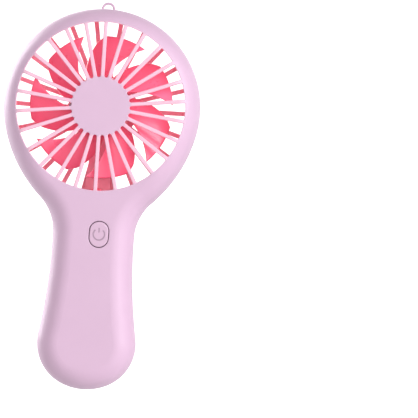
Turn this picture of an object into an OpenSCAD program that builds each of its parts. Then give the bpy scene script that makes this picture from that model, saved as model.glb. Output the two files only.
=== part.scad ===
// Rechargeable handheld electric fan: a round grilled head that runs down into a waisted
// handle, moulded as a front and a back shell round an impeller, its motor, a round cell
// and one circuit board.
// Lengths are millimetres. +Z runs up the handle to the head, -Y is the front that the air
// leaves by, and the origin is the middle of the hand grip.

/* [Outline] */
// Radius of the round head
head_r = 50; // [49:0.5:51]
// Radius of the arc that carries the head down to the neck
shoulder_r = 70.8; // [68:0.2:74]
// Radius of the hollow neck
neck_r = 24.8; // [23:0.1:26]
// Radius of the long hollow waist
waist_r = 279; // [260:1:300]
// Radius of the handle's lower corners
heel_r = 23; // [21:0.5:24]
// Height of the head's centre over the middle of the grip
grip_to_head = 100; // [95:1:105]

/* [Depth] */
// Depth of the head in front of the parting plane
head_front = 15; // [14.5:0.1:15.5]
// Depth of the head behind the parting plane
head_back = 17; // [16.5:0.1:17.5]
// Depth of the handle on either side of the parting plane
handle_half = 12.6; // [12.4:0.1:13]
// Width of the rounded edge, seen from the front
edge_w = 11; // [10:0.5:11.5]
// Wall thickness of both shells
wall = 2; // [1.8:0.1:2.2]

/* [Grilles] */
// Number of front ribs
front_ribs = 26; // [20:1:28]
// Radius of the front opening
front_open_r = 42.4; // [41:0.1:43]
// Radius of the plain disc in the front grille
front_disc_r = 14.6; // [14:0.1:16]
// Width of a front rib
front_rib_w = 1.85; // [1.6:0.05:2]
// Number of rib places round the back, two of which the arm takes
back_ribs = 22; // [22:2:24]
// Radius that the back slots reach
back_open_r = 46.5; // [45:0.1:46.8]
// Radius of the back hub
back_hub_r = 17.4; // [17:0.1:18]
// Width of a back rib
back_rib_w = 2.2; // [1.8:0.05:2.4]
// Half the angle that the arm below the back hub takes
arm_half = 11.6; // [10:0.1:12]

/* [Impeller] */
// Number of blades
blades = 7; // [5:1:7]
// Radius of the blade tips
blade_tip_r = 36.2; // [34:0.1:38]
// Radius of the impeller's hub
hub_r = 12; // [11.8:0.1:12.4]
// Angle of the first blade's tip, clockwise from straight up
blade_phase = 15.7; // [0:0.1:51]
// Angle that a blade takes at the hub
blade_root_angle = 44.5; // [40:0.5:47]
// Angle that a blade takes at its tip
blade_tip_angle = 37; // [30:0.5:38]
// Angle by which the tip leads the root
blade_sweep = 35; // [30:1:38]
// Thickness of a blade
blade_t = 1.4; // [1.2:0.1:1.6]

/* [Power button] */
// Distance of the button to the right of the axis
button_x = 3.3; // [2.5:0.1:3.5]
// Distance of the button below the head's centre
button_drop = 64.3; // [63.8:0.1:64.8]
// Width of the button's opening
button_w = 10.1; // [9.6:0.1:10.4]
// Height of the button's opening
button_h = 13.5; // [13:0.1:13.8]
// Travel of the button
button_travel = 0.5; // [0.3:0.1:0.5]

/* [Cell] */
// Diameter of the round cell
cell_d = 18.4; // [18:0.1:18.5]
// Length of the round cell
cell_l = 65; // [64:0.1:65.2]

/* [Hidden] */
round_fn = 64;

body_colour = [0.88, 0.76, 0.85];
blade_colour = [0.96, 0.45, 0.55];
steel = [0.72, 0.73, 0.75];
copper = [0.78, 0.45, 0.25];
board_green = [0.1, 0.4, 0.22];

// Outline: each arc has its radius, negative where the outline is hollow, the angle of its
// outward normal from straight up where it ends, and the number of steps along it
arcs = [[head_r, 101.3, 14], [shoulder_r, 136.4, 5], [-neck_r, 90.8, 7],
        [-waist_r, 80.2, 6], [heel_r, 155, 9]];
tip_steps = 3;
edge_steps = 7;
// The depth changes from the head's to the handle's between these heights
front_fall = [-28, -57];
back_fall = [-26, -68];

// Parting joint: a tongue on the back shell stands in a step of the front shell
tongue = 1.2;
tongue_gap = 0.1;

slot_fillet = 0.9;
slot_outer_fillet = 0.4;
back_slot_fillet = 0.6;

label_r = 15.2;
label_t = 0.35;
label_recess = 0.5;

case_screw_z = -44.8;
case_recess_r = 2.6;
case_seat_y = 5.5;

// Impeller, seen along the axis
blade_front = -10.8;
blade_back = -1.2;
blade_camber = 0.9;
// The tip's leading corner is cut off over this share of the blade's width and drops by this
// much, and the trailing corner is sharp
blade_corner = 0.07;
corner_drop = 3;
hub_front = -11;
hub_back = -0.4;
shaft_r = 1;
shaft_in = 0.9;

// Motor
can_r = 12.2;
can_front = 2.4;
can_back = 13.2;
can_wall = 0.8;
cap_back = 14.8;
bush_r = 3;
running_gap = 0.04;
core_r = 9.1;
core_y = [5.8, 10.4];
coil_top = 6.9;
socket_r = 12.35;
socket_wall = 1.85;
socket_front = 3.2;
retainer_t = 1.2;
retainer_screw_x = 15.2;

// Power button and its switch
button_gap = 0.3;
button_proud = 0.25;
flange_t = 0.9;
flange_rim = 0.75;
stop_gap = 0.15;
switch_size = 6;
switch_front = -6.5;
plunger_front = -7.5;
plunger_r = 1.7;
plunger_in = 0.7;
board_front = -2.5;
board_back = -1.3;
board_x = [-17.4, 13.6];
board_z = [-70.4, -57.4];
board_screws_at = [[11.2, -60.2], [-6.2, -67.9]];

// Charging socket, at mid depth in the left side of the neck
usb_mouth_x = -20;
usb_l = 5.7;
usb_w = 7.5;
usb_h = 2.6;
usb_z = -64.3;

// Cell
cell_top = -72;
pad_w = 9;
pad_h = 14;
pad_z = -103;
saddle_at = [-84, -122];
saddle_t = 1.4;

eyelet_w = 7.1;
eyelet_h = 3.6;
eyelet_wire = 1.25;

// Wires, and the cover in front of the motor's leads
duct_t = 0.8;
duct_top_y = 10.6;
duct_low_y = 8.2;
wire_d = 1.1;
// Down the back arm from the motor, past the screw's post and forward to the board
motor_route = [[3.3, 13.4, -13.5], [2.8, 13.3, -17], [2.6, 13.2, -22], [3, 12.8, -29],
               [4.2, 11.7, -37], [5.4, 10, -44], [5.6, 7, -50], [5.2, 3.4, -55],
               [4.9, 0.4, -58.6], [4.8, -0.7, -60]];
cell_red_route = [[0, 8.6, -70.9], [0.3, 8.2, -68.6], [0.2, 5.4, -66.8], [0, 2.2, -66.2],
                  [0, -0.7, -66]];
cell_black_route = [[9.4, 0, -137.9], [11.6, 0, -136.6], [12.6, 0.4, -132], [12.8, 0.8, -120],
                    [12.8, 0.8, -105], [12.8, 0.8, -90], [12.6, 0.8, -78], [11.8, 0.6, -71],
                    [10.4, 0.2, -67], [9.6, -0.7, -65.6]];

// ---------- shared helpers ----------

function mix(a, b, t) = a * (1 - t) + b * t;
function ease(t) = let(c = min(max(t, 0), 1)) c * c * (3 - 2 * c);
function normal(a) = [sin(a), cos(a)];
function flat(lists) = [for (l = lists) each l];
function unit(v) = v / norm(v);

// Lays out everything below from the head's centre
module from_head() translate([0, 0, grip_to_head]) children();

// Stands a plan drawn in x and z on the plane y = from, as deep as y = to
module across(from, to) translate([0, to, 0]) rotate([90, 0, 0])
    linear_extrude(to - from) children();

// A round bar along Y at x, z
module bar(r, from, to, x = 0, z = 0) translate([x, to, z]) rotate([90, 0, 0])
    cylinder(r = r, h = to - from, $fn = round_fn);

// A round bar with a hole through it
module sleeve(r, hole_r, from, to, x = 0, z = 0) difference() {
    bar(r, from, to, x, z);
    bar(hole_r, from - 1, to + 1, x, z);
}

// A block between two corners
module block(low, high) translate(low) cube(high - low);

// A box with round ends, upright, in plan
module stadium(w, h) union() {
    for (s = [-1, 1]) translate([0, s * (h - w) / 2]) circle(d = w, $fn = round_fn);
    square([w, h - w], center = true);
}

// ---------- outline and shells ----------

function arc_from(k) = k == 0 ? 0 : arcs[k - 1][1];
function arc_start(k) = k == 0 ? [0, head_r]
    : arc_start(k - 1) + arcs[k - 1][0] * (normal(arc_from(k)) - normal(arc_from(k - 1)));
// The last arc is centred on the axis, so its radius follows from where it starts
tip_start = arc_start(len(arcs));
tip_from = arc_from(len(arcs));
tip_r = tip_start[0] / sin(tip_from);
all_arcs = concat(arcs, [[tip_r, 180, tip_steps]]);

// Stations down the right-hand side: x, z and the angle of the outward normal
function arc_stations(k) = [for (i = [1 : all_arcs[k][2]])
    let (a0 = arc_from(k), a = mix(a0, all_arcs[k][1], i / all_arcs[k][2]),
         p = arc_start(k) + all_arcs[k][0] * (normal(a) - normal(a0)))
    [abs(p[0]) < 1e-6 ? 0 : p[0], p[1], a]];
right_side = concat([[0, head_r, 0]], flat([for (k = [0 : len(all_arcs) - 1]) arc_stations(k)]));
half_n = len(right_side) - 1;
stations_n = 2 * half_n;
function station(i) = i <= half_n ? right_side[i]
    : let (s = right_side[stations_n - i]) [-s[0], s[1], -s[2]];

function depth_at(z, head, fall) =
    mix(head, handle_half, ease((z - fall[0]) / (fall[1] - fall[0])));

// Distance in from the silhouette and depth, along the outside and back along the inside
function outside_edge(depth) = [for (i = [0 : edge_steps]) let (t = 90 - 90 * i / edge_steps)
    [edge_w * (1 - cos(t)), depth * sin(t)]];
function inside_edge(depth, rim) = [for (i = [0 : edge_steps])
    let (t0 = asin(rim / (depth - wall)), t = mix(t0, 90, i / edge_steps))
    [wall + (edge_w - wall) * (1 - cos(t)), (depth - wall) * sin(t)]];
function front_rim() = [[wall / 2 - tongue_gap, 0], [wall / 2 - tongue_gap, tongue + tongue_gap]];
function back_rim() = [[wall / 2, 0], [wall / 2, -tongue], [wall, -tongue]];
function front_section(z) = let (d = depth_at(z, head_front, front_fall))
    concat(outside_edge(d), front_rim(), inside_edge(d, tongue + tongue_gap));
function back_section(z) = let (d = depth_at(z, head_back, back_fall))
    concat(outside_edge(d), back_rim(), inside_edge(d, 0.4));

// One closed skin: every station carries its wall section, and strips from side to side
// close the flat of the front or back, outside and inside
module shell_skin(front) {
    side = front ? -1 : 1;
    sections = [for (i = [0 : stations_n - 1]) let (z = station(i)[1])
        front ? front_section(z) : back_section(z)];
    m = len(sections[0]);
    points = [for (i = [0 : stations_n - 1]) let (s = station(i), n = normal(s[2]))
        for (p = sections[i]) [s[0] - n[0] * p[0], side * p[1], s[1] - n[1] * p[0]]];
    function at(i, j) = ((i + stations_n) % stations_n) * m + j;
    function quad(a, b, c, d) = [[a, b, c], [a, c, d]];
    walls = flat([for (i = [0 : stations_n - 1]) for (j = [0 : m - 2])
        quad(at(i, j), at(i, j + 1), at(i + 1, j + 1), at(i + 1, j))]);
    function strip(j) = concat(
        [[at(0, j), at(1, j), at(-1, j)]],
        flat([for (i = [1 : half_n - 2]) quad(at(i, j), at(i + 1, j), at(-i - 1, j), at(-i, j))]),
        [[at(half_n - 1, j), at(half_n, j), at(half_n + 1, j)]]);
    outer = strip(0);
    inner = [for (f = strip(m - 1)) [f[2], f[1], f[0]]];
    faces = concat(walls, outer, inner);
    polyhedron(points, front ? faces : [for (f = faces) [f[2], f[1], f[0]]]);
}

// Centre of a slot's corner fillet: fillet f, on the given side of a rib edge at angle a,
// the rib being w wide, and just inside or outside the circle r
function corner_centre(a, w, r, f, side, outer) =
    let (off = w / 2 + f, d = outer ? r - f : r + f, along = sqrt(d * d - off * off))
    along * normal(a) + side * off * [cos(a), -sin(a)];
function fillet(c, f, from, to) = [for (i = [0 : 3]) c + f * normal(mix(from, to, i / 3))];
// One grille slot, from the rib edge at angle a0 round to the one at a1, with fillet f at the
// inner corners and g at the outer ones
function slot_outline(r0, r1, a0, w0, a1, w1, f, g) =
    let (i0 = corner_centre(a0, w0, r0, f, 1, false), o0 = corner_centre(a0, w0, r1, g, 1, true),
         i1 = corner_centre(a1, w1, r0, f, -1, false), o1 = corner_centre(a1, w1, r1, g, -1, true),
         in0 = atan2(i0[0], i0[1]), in1 = atan2(i1[0], i1[1]),
         out0 = atan2(o0[0], o0[1]), out1 = atan2(o1[0], o1[1]))
    concat(fillet(i0, f, in0 + (in0 < a0 - 180 ? 360 : 0) - 180, a0 - 90),
           fillet(o0, g, a0 - 90, out0 + (out0 < a0 - 180 ? 360 : 0)),
           fillet(o1, g, out1 + (out1 < a1 - 180 ? 360 : 0), a1 + 90),
           fillet(i1, f, a1 + 90, in1 + (in1 < a1 - 180 ? 360 : 0) + 180));

module front_slots() for (k = [0 : front_ribs - 1]) let (pitch = 360 / front_ribs)
    polygon(slot_outline(front_disc_r, front_open_r, k * pitch, front_rib_w,
                         (k + 1) * pitch, front_rib_w, slot_fillet, slot_outer_fillet));

// The back ribs sit half a pitch off the vertical, and the arm replaces the lowest two
module back_slots() {
    pitch = 360 / back_ribs;
    last = back_ribs / 2 - 2;
    for (k = [0 : last - 1]) for (s = [-1, 1]) mirror([s < 0 ? 1 : 0, 0])
        polygon(slot_outline(back_hub_r, back_open_r, (k + 0.5) * pitch, back_rib_w,
                             (k + 1.5) * pitch, back_rib_w, back_slot_fillet, back_slot_fillet));
    polygon(slot_outline(back_hub_r, back_open_r, -0.5 * pitch, back_rib_w,
                         0.5 * pitch, back_rib_w, back_slot_fillet, back_slot_fillet));
    for (s = [-1, 1]) mirror([s < 0 ? 1 : 0, 0])
        polygon(slot_outline(back_hub_r, back_open_r, (last + 0.5) * pitch, back_rib_w,
                             180 - arm_half, 0, back_slot_fillet, back_slot_fillet));
}

// A web across the handle that the cell lies in, on the side given
module saddle(z, side) {
    reach = handle_half - wall + 0.4;
    difference() {
        block([-9, side > 0 ? 3.5 : -reach, z - saddle_t / 2],
              [9, side > 0 ? reach : -3.5, z + saddle_t / 2]);
        translate([0, 0, z - saddle_t]) cylinder(d = cell_d + 0.3, h = 2 * saddle_t, $fn = round_fn);
    }
}

// The charging socket's way out through the neck's side
module usb_opening() translate([usb_mouth_x, 0, usb_z])
    cube([2 * usb_l, usb_h + 0.6, usb_w + 0.6], center = true);

module front_shell() from_head() color(body_colour) difference() {
    union() {
        shell_skin(true);
        bar(2.2, wall - handle_half - 1.4, 0, 0, case_screw_z);
        for (p = board_screws_at) bar(2, wall - handle_half - 0.4, board_front, p[0], p[1]);
        for (z = saddle_at) saddle(z, -1);
    }
    across(-head_front - 1, -head_front + 6) front_slots();
    across(-handle_half - 1, -handle_half + wall + 1) translate([button_x, -button_drop])
        stadium(button_w, button_h);
    bar(0.8, -9, 1, 0, case_screw_z);
    for (p = board_screws_at) bar(0.7, -9, board_front + 1, p[0], p[1]);
    usb_opening();
}

module eyelet() translate([0, 0.9, head_r - 0.6]) rotate([90, 0, 0]) {
    leg = eyelet_h - eyelet_w / 2 + 0.6;
    mid_r = (eyelet_w - eyelet_wire) / 2;
    translate([0, max(leg, 0.6), 0]) rotate_extrude(angle = 180, $fn = round_fn)
        translate([mid_r, 0]) circle(d = eyelet_wire, $fn = 24);
    for (s = [-1, 1]) translate([s * mid_r, -0.6, 0]) rotate([-90, 0, 0])
        cylinder(d = eyelet_wire, h = max(leg, 0.6) + 0.6, $fn = 24);
}

module back_shell() from_head() color(body_colour) difference() {
    union() {
        shell_skin(false);
        eyelet();
        sleeve(socket_r + socket_wall, socket_r, socket_front, head_back - wall + 0.4);
        for (s = [-1, 1]) bar(2.1, can_front, head_back - wall + 0.4, s * retainer_screw_x);
        bar(3.8, 0.2, head_back - wall - 1, 0, case_screw_z);
        for (z = saddle_at) saddle(z, 1);
        // Cover that the motor's leads run behind, down the arm
        hull() {
            block([-4.6, duct_top_y, -15.2], [4.6, duct_top_y + duct_t, -14.2]);
            block([-6.6, duct_low_y, -44.5], [6.6, duct_low_y + duct_t, -43.5]);
        }
    }
    across(6.5, head_back + 1) back_slots();
    bar(label_r + 0.1, head_back - label_recess, head_back + 1);
    for (s = [-1, 1]) bar(0.75, can_front - 1, can_front + 7, s * retainer_screw_x);
    bar(case_recess_r, case_seat_y, head_back + 1, 0, case_screw_z);
    bar(1.15, -1, case_seat_y + 1, 0, case_screw_z);
    // Way out of the motor's socket for the two leads
    block([-4.6, socket_front - 1, -16], [4.6, head_back - wall, -10]);
    usb_opening();
}

module rear_label() from_head() color([0.87, 0.87, 0.92])
    bar(label_r, head_back - label_recess, head_back - label_recess + label_t);

// ---------- screws ----------

// A pan head screw with a cross recess, its head's seat at y = seat and its tip towards -Y
module pan_screw(head_radius, head_t, r, l, seat, x, z) difference() {
    union() {
        bar(head_radius, seat, seat + head_t, x, z);
        bar(r, seat - l, seat + 0.1, x, z);
    }
    for (a = [0, 90]) translate([x, seat + head_t, z]) rotate([0, a, 0])
        cube([head_radius * 1.3, head_t, head_radius * 0.35], center = true);
}

module case_screw() from_head() color(steel)
    pan_screw(2, 1.4, 0.8, 9.5, case_seat_y, 0, case_screw_z);

module board_screws() from_head() color(steel) for (p = board_screws_at)
    pan_screw(1.4, 0.9, 0.7, 6, board_back, p[0], p[1]);

// These two go in from the front, so each is turned about
module retainer_screws() from_head() color(steel) for (s = [-1, 1])
    rotate([0, 0, 180]) pan_screw(1.5, 0.9, 0.75, 7, retainer_t - can_front, s * retainer_screw_x, 0);

// ---------- power button and circuit board ----------

module power_button() from_head() color(body_colour) {
    flange_front = wall - handle_half + stop_gap;
    flange_back = flange_front + flange_t;
    translate([button_x, 0, -button_drop]) {
        across(-handle_half - button_proud, flange_front + 0.1)
            stadium(button_w - 2 * button_gap, button_h - 2 * button_gap);
        across(flange_front, flange_back)
            stadium(button_w + 2 * flange_rim, button_h + 2 * flange_rim);
        bar(1.8, flange_back - 0.1, plunger_front);
    }
}

module switch_plunger() from_head() color([0.15, 0.15, 0.16])
    bar(plunger_r, plunger_front, switch_front + plunger_in, button_x, -button_drop);

module switch_body() from_head() color([0.25, 0.25, 0.27]) difference() {
    translate([button_x, 0, -button_drop])
        block([-switch_size / 2, switch_front, -switch_size / 2],
              [switch_size / 2, board_front, switch_size / 2]);
    bar(plunger_r + 0.15, switch_front - 1, switch_front + plunger_in + button_travel + 0.4,
        button_x, -button_drop);
}

module circuit_board() from_head() color(board_green) difference() {
    block([board_x[0], board_front, board_z[0]], [board_x[1], board_back, board_z[1]]);
    for (p = board_screws_at) bar(0.8, board_front - 1, board_back + 1, p[0], p[1]);
}

module usb_socket() from_head() color(steel) translate([usb_mouth_x, 0, usb_z]) difference() {
    block([0, -usb_h / 2, -usb_w / 2], [usb_l, usb_h / 2, usb_w / 2]);
    block([-1, 0.3 - usb_h / 2, 0.3 - usb_w / 2], [usb_l - 0.6, usb_h / 2 - 0.3, usb_w / 2 - 0.3]);
}

module usb_contacts() from_head() color([0.12, 0.12, 0.13])
    translate([usb_mouth_x, 0, usb_z]) block([1, -0.35, -2.6], [usb_l - 0.6, 0.35, 2.6]);

// A small package lying on the back of the board, with a row of legs along two sides
module chip(x, z, w, h, legs) {
    translate([x, 0, z]) block([-w / 2, board_back, -h / 2], [w / 2, board_back + 1.3, h / 2]);
    for (s = [-1, 1]) for (i = [0 : legs - 1])
        translate([x + (i - (legs - 1) / 2) * 1.27, 0, z + s * (h / 2 + 0.4)])
            block([-0.2, board_back, -0.45], [0.2, board_back + 0.5, 0.45]);
}

module charge_chip() from_head() color([0.13, 0.13, 0.14]) chip(-8.6, -62, 4.9, 3.9, 4);

module driver_chip() from_head() color([0.13, 0.13, 0.14]) chip(3.2, -66.6, 3, 1.7, 3);

module status_led() from_head() color([0.9, 0.35, 0.3])
    block([-13, board_front - 0.9, -69.4], [-11.4, board_front, -68.6]);

module board_passives() from_head() color([0.65, 0.6, 0.5])
    for (p = [[-2.2, -60], [-2.2, -63], [7.4, -62.4], [7.4, -64.4], [-10.8, -67.6]])
        translate([p[0], 0, p[1]]) block([-0.8, board_back, -0.4], [0.8, board_back + 0.6, 0.4]);

// ---------- cell ----------

module battery_cell() from_head() color([0.25, 0.45, 0.7]) difference() {
    translate([0, 0, cell_top - cell_l]) cylinder(d = cell_d, h = cell_l, $fn = round_fn);
    translate([0, 0, cell_top - 0.6]) difference() {
        cylinder(r = cell_d / 2 - 1.2, h = 1, $fn = round_fn);
        translate([0, 0, -0.5]) cylinder(r = 3.4, h = 2, $fn = round_fn);
    }
}

module battery_positive_cap() from_head() color(steel)
    translate([0, 0, cell_top]) cylinder(r = 3, h = 0.7, $fn = round_fn);

module battery_tabs() from_head() color(steel) {
    translate([0, 0, cell_top + 0.7]) block([-2.5, -2.5, 0], [2.5, 8, 0.2]);
    translate([0, 0, cell_top - cell_l - 0.2]) block([-2.5, -2.5, 0], [10, 2.5, 0.2]);
}

module battery_foam_pads() from_head() color([0.2, 0.2, 0.2]) for (s = [-1, 1])
    translate([0, 0, pad_z]) difference() {
        block([-pad_w / 2, s > 0 ? cell_d / 2 - 1.2 : -handle_half + wall, -pad_h / 2],
              [pad_w / 2, s > 0 ? handle_half - wall : 1.2 - cell_d / 2, pad_h / 2]);
        translate([0, 0, -pad_h]) cylinder(d = cell_d + 0.02, h = 2 * pad_h, $fn = round_fn);
    }

// ---------- impeller and motor ----------

// Plan angle of a blade's middle at radius r, against its tip
function blade_lean(r) = let (f = (r - hub_r) / (blade_tip_r - hub_r))
    -blade_sweep * (1 - (f > 0 ? pow(f, 0.92) : 0));
function blade_width(r) = mix(blade_root_angle, blade_tip_angle,
                              (r - hub_r) / (blade_tip_r - hub_r));
function blade_end(s) = blade_tip_r - corner_drop * max(blade_corner - s, 0) / blade_corner;
function blade_point(s, v, face) =
    let (r = mix(hub_r - 0.7, blade_end(s), v),
         a = blade_lean(r) + blade_width(r) * (s - 0.5),
         y = mix(blade_back, blade_front, s) - blade_camber * sin(180 * s) + face * blade_t * 0.55)
    [r * sin(a), y, r * cos(a)];

module blade() {
    across_n = 10;
    along_n = 7;
    m = along_n + 1;
    layer = (across_n + 1) * m;
    // The first step ends where the corner is cut off
    function share(i) = i == 0 ? 0 : mix(blade_corner, 1, (i - 1) / (across_n - 1));
    points = flat([for (face = [-1, 1]) [for (i = [0 : across_n]) for (j = [0 : along_n])
        blade_point(share(i), j / along_n, face)]]);
    function at(i, j, k) = k * layer + i * m + j;
    function quad(a, b, c, d) = [[a, b, c], [a, c, d]];
    skins = flat([for (i = [0 : across_n - 1]) for (j = [0 : along_n - 1]) concat(
        quad(at(i, j, 0), at(i, j + 1, 0), at(i + 1, j + 1, 0), at(i + 1, j, 0)),
        quad(at(i, j, 1), at(i + 1, j, 1), at(i + 1, j + 1, 1), at(i, j + 1, 1)))]);
    ends = flat([for (i = [0 : across_n - 1]) concat(
        quad(at(i, 0, 0), at(i + 1, 0, 0), at(i + 1, 0, 1), at(i, 0, 1)),
        quad(at(i, along_n, 0), at(i, along_n, 1), at(i + 1, along_n, 1), at(i + 1, along_n, 0)))]);
    edges = flat([for (j = [0 : along_n - 1]) concat(
        quad(at(0, j, 0), at(0, j, 1), at(0, j + 1, 1), at(0, j + 1, 0)),
        quad(at(across_n, j, 0), at(across_n, j + 1, 0), at(across_n, j + 1, 1),
             at(across_n, j, 1)))]);
    polyhedron(points, concat(skins, ends, edges));
}

module impeller() from_head() color(blade_colour) {
    difference() {
        bar(hub_r, hub_front, hub_back);
        difference() {
            bar(hub_r - 1.4, hub_front + 1.6, hub_back + 1);
            bar(3.2, hub_front, -1.2);
        }
        bar(shaft_r, hub_front + shaft_in, 0);
    }
    for (k = [0 : blades - 1]) rotate([0, blade_phase + k * 360 / blades, 0]) blade();
}

module motor_shaft() from_head() color(steel) bar(shaft_r, hub_front + shaft_in, cap_back - 0.6);

// Three poles on a round yoke, each with a curved shoe
module armature_core() from_head() color([0.45, 0.45, 0.48]) difference() {
    across(core_y[0], core_y[1]) union() {
        circle(r = 3.6, $fn = round_fn);
        for (a = [0, 120, 240]) rotate(a) {
            translate([0, 4.6]) square([2.6, 6], center = true);
            intersection() {
                difference() {
                    circle(r = core_r, $fn = round_fn);
                    circle(r = core_r - 1.6, $fn = round_fn);
                }
                polygon([[0, 0], 14 * normal(-48), [0, 20], 14 * normal(48)]);
            }
        }
    }
    bar(shaft_r, core_y[0] - 1, core_y[1] + 1);
}

// One coil round the neck of each pole, standing off the core
module armature_windings() from_head() color(copper) for (a = [0, 120, 240]) rotate([0, a, 0])
    difference() {
        block([-2.5, core_y[0] - 0.9, 3.9], [2.5, core_y[1] + 0.9, coil_top]);
        block([-1.35, core_y[0] - 0.05, 3], [1.35, core_y[1] + 0.05, 8]);
    }

module commutator() from_head() color(copper) difference() {
    bar(2.4, core_y[1], 12.9);
    bar(shaft_r, core_y[1] - 1, 14);
    for (a = [60, 180, 300]) rotate([0, a, 0]) block([-0.15, 11.6, 1.9], [0.15, 14, 3]);
}

module motor_can() from_head() color(steel) difference() {
    bar(can_r, can_front, can_back);
    bar(can_r - can_wall, can_front + can_wall, can_back + 1);
    bar(bush_r, can_front - 1, can_front + 2);
}

module motor_magnets() from_head() color([0.2, 0.2, 0.22]) for (s = [-1, 1])
    across(4.6, 12.2) difference() {
        intersection() {
            circle(r = can_r - can_wall, $fn = round_fn);
            polygon([[0, 0], 24 * normal(s * 90 - 62), [s * 30, 0], 24 * normal(s * 90 + 62)]);
        }
        circle(r = 9.5, $fn = round_fn);
    }

module motor_front_bush() from_head() color([0.6, 0.5, 0.35])
    sleeve(bush_r, shaft_r + running_gap, 1, 4.8);

module motor_end_cap() from_head() color([0.92, 0.92, 0.9]) difference() {
    union() {
        bar(can_r, can_back, cap_back);
        bar(can_r - can_wall, can_back - 0.8, can_back + 0.1);
    }
    bar(2.6, 12, cap_back + 1);
    for (s = [-1, 1]) block([s * 3.3 - 0.6, 12, -13], [s * 3.3 + 0.6, cap_back - 0.5, -9]);
    bar(9.4, can_back - 1, can_back);
}

module motor_rear_bush() from_head() color([0.6, 0.5, 0.35])
    sleeve(2.6, shaft_r + running_gap, can_back, cap_back);

// Two spring leaves on the end cap, one on each side of the commutator
module motor_brushes() from_head() color(copper) for (s = [-1, 1])
    block([s > 0 ? 2.6 : -2.9, 11.5, -2.2], [s > 0 ? 2.9 : -2.6, can_back, 2.2]);

module motor_terminals() from_head() color(steel) for (s = [-1, 1])
    block([s * 3.3 - 0.6, can_back, -13.4], [s * 3.3 + 0.6, can_back + 0.4, -9]);

module motor_retainer() from_head() color([0.85, 0.85, 0.86]) difference() {
    union() {
        bar(socket_r + socket_wall, can_front - retainer_t, can_front);
        for (s = [-1, 1]) bar(2.4, can_front - retainer_t, can_front, s * retainer_screw_x);
    }
    bar(5.5, 0, 4);
    for (s = [-1, 1]) bar(0.9, 0, 4, s * retainer_screw_x);
}

// ---------- wires ----------

// A point on the smooth curve through the route, at t counted in route steps
function route_at(p, t) = let (n = len(p) - 1, i = min(floor(t), n - 1), f = t - i,
        a = p[max(i - 1, 0)], b = p[i], c = p[i + 1], d = p[min(i + 2, n)])
    (2 * b + (c - a) * f + (2 * a - 5 * b + 4 * c - d) * f * f
        + (3 * b - a - 3 * c + d) * f * f * f) / 2;

// A round wire swept along a route; side is any direction that the route never runs along
module wire(route, d, side, rings_per_step = 3) {
    sides = 8;
    rings = (len(route) - 1) * rings_per_step;
    centres = [for (i = [0 : rings]) route_at(route, i / rings_per_step)];
    points = flat([for (i = [0 : rings])
        let (along = unit(centres[min(i + 1, rings)] - centres[max(i - 1, 0)]),
             u = unit(cross(along, side)), v = cross(along, u))
        [for (k = [0 : sides - 1]) centres[i]
            + d / 2 * (cos(360 * k / sides) * u + sin(360 * k / sides) * v)]]);
    skin = flat([for (i = [0 : rings - 1]) for (k = [0 : sides - 1])
        let (n = (k + 1) % sides, a = i * sides)
        [[a + k, a + sides + k, a + sides + n], [a + k, a + sides + n, a + n]]]);
    first = [for (k = [0 : sides - 1]) k];
    last = [for (k = [sides - 1 : -1 : 0]) rings * sides + k];
    polyhedron(points, concat(skin, [first, last]));
}

module motor_wire_red() from_head() color("red") wire(motor_route, wire_d, [1, 0, 0]);

module motor_wire_black() from_head() color([0.1, 0.1, 0.1])
    wire([for (p = motor_route) [-p[0], p[1], p[2]]], wire_d, [1, 0, 0]);

module battery_wire_red() from_head() color("red") wire(cell_red_route, wire_d, [1, 0, 0]);

module battery_wire_black() from_head() color([0.1, 0.1, 0.1])
    wire(cell_black_route, wire_d, [0, 1, 0]);

front_shell();
back_shell();
rear_label();
case_screw();
power_button();
switch_plunger();
switch_body();
circuit_board();
usb_socket();
usb_contacts();
charge_chip();
driver_chip();
status_led();
board_passives();
board_screws();
battery_cell();
battery_positive_cap();
battery_tabs();
battery_foam_pads();
battery_wire_red();
battery_wire_black();
impeller();
motor_shaft();
armature_core();
armature_windings();
commutator();
motor_can();
motor_magnets();
motor_front_bush();
motor_end_cap();
motor_rear_bush();
motor_brushes();
motor_terminals();
motor_retainer();
retainer_screws();
motor_wire_red();
motor_wire_black();
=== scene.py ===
import math

import bmesh
import bpy
import numpy as np
from mathutils import Matrix, Vector
from mathutils.geometry import delaunay_2d_cdt
from mathutils.kdtree import KDTree


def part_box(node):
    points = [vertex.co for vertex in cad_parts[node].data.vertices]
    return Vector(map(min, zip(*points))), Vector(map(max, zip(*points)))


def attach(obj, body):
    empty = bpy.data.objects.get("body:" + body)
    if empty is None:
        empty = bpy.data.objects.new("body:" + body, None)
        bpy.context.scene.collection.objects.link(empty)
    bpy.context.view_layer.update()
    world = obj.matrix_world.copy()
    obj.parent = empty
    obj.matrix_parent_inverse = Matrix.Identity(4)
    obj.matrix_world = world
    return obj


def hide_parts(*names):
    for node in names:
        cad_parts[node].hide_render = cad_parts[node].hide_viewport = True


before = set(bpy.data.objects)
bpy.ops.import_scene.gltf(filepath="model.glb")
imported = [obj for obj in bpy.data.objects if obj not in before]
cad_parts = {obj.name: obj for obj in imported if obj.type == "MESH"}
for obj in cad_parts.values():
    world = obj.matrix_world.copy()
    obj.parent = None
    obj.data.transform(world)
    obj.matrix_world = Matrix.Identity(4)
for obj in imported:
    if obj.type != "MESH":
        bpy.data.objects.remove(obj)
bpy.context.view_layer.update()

# Lengths below are millimetres from the head's centre: x to the right, y to the back, z up.
# MeshMaker turns them into metres in the frame.
MM = 0.001
shaft_low, shaft_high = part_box("motor_shaft")
HEAD = Vector(((shaft_low.x + shaft_high.x) / 2, 0.0, (shaft_low.z + shaft_high.z) / 2))

# ---------- driving dimensions ----------

HEAD_R = 50.0
EDGE_W = 11.0
WALL = 2.0
HANDLE_HALF = 12.6
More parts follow.
